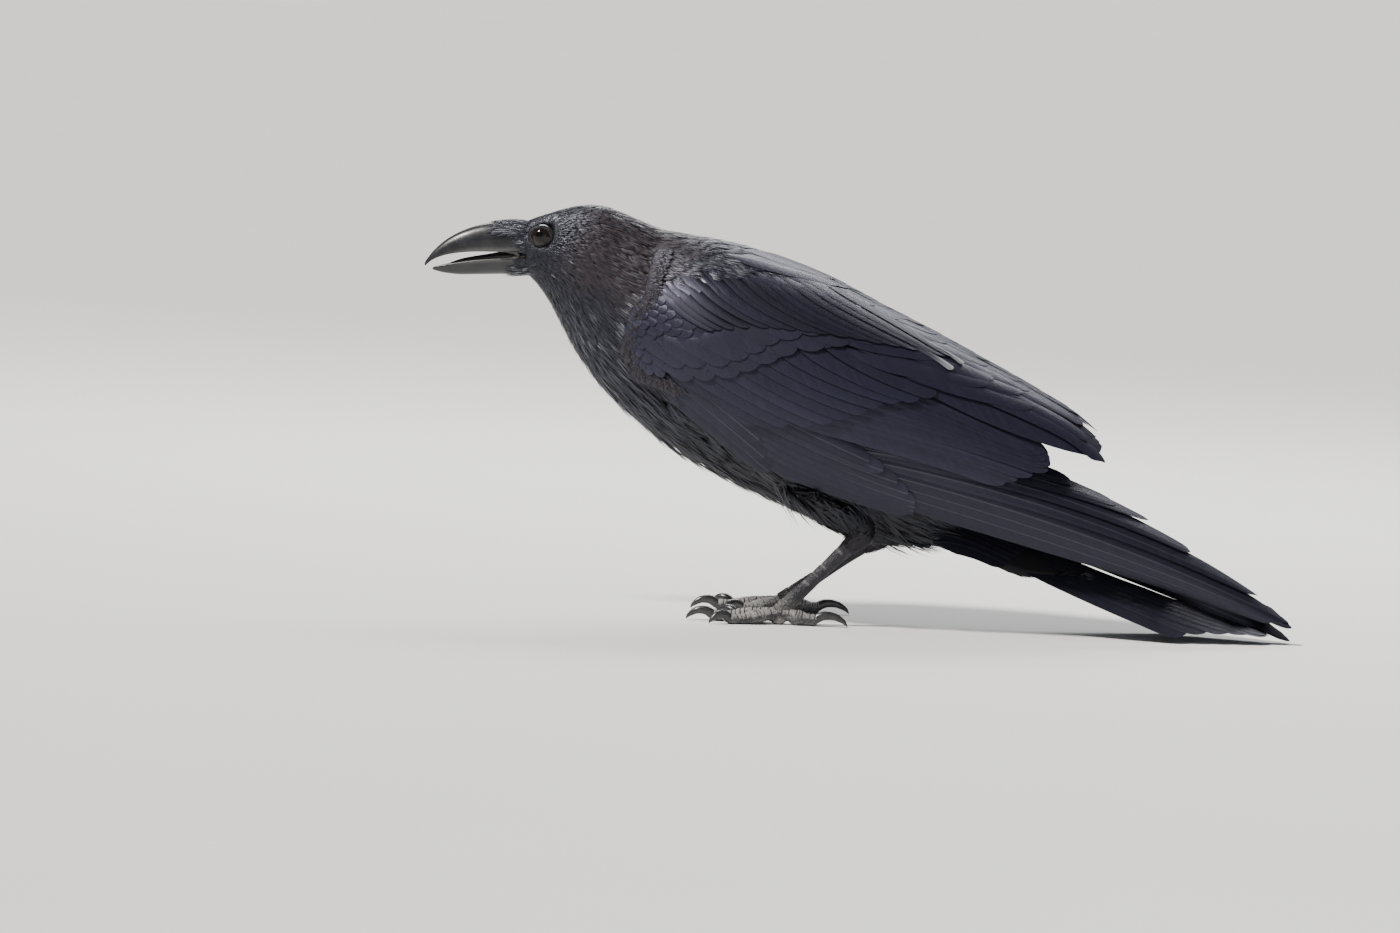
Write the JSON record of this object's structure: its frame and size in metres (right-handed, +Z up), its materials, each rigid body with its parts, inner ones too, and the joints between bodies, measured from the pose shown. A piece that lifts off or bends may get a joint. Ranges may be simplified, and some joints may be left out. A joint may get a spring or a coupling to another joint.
{
  "type": "common raven, still life-size model",
  "caption": "Life-size black raven standing crouched on both feet, leaning forward with bill slightly open, wings folded and tail resting on the ground.",
  "frame": {"origin": "middle of the bounding box's base, on the floor", "axes": "+X from the bill to the tail, +Y to the bird's right, +Z up"},
  "size_m": [0.5476, 0.127, 0.2512],
  "materials": {
    "plumage": "black body feathers with a faint blue and violet sheen",
    "flight_feathers": "slate-black wing and tail feathers with a silky blue sheen",
    "bill": "black horn, half glossy, worn along the cutting edges",
    "leg_skin": "black scaled skin with dusty grey toes",
    "claw": "glossy dark grey horn",
    "eye": "wet dark brown"
  },
  "bodies": {
    "root": {"head": "plumage", "neck": "plumage", "trunk": "plumage", "eye_left": "eye", "eye_right": "eye", "bill_upper": "bill", "bill_lower": "bill", "wing_left": "flight_feathers", "primaries_left": "flight_feathers", "wing_right": "flight_feathers", "primaries_right": "flight_feathers", "tail": "flight_feathers", "thigh_left": "plumage", "tarsus_left": "leg_skin", "foot_left": "leg_skin", "claw_left_inner": "claw", "claw_left_middle": "claw", "claw_left_outer": "claw", "claw_left_hind": "claw", "thigh_right": "plumage", "tarsus_right": "leg_skin", "foot_right": "leg_skin", "claw_right_inner": "claw", "claw_right_middle": "claw", "claw_right_outer": "claw", "claw_right_hind": "claw"}
  },
  "joints": []
}
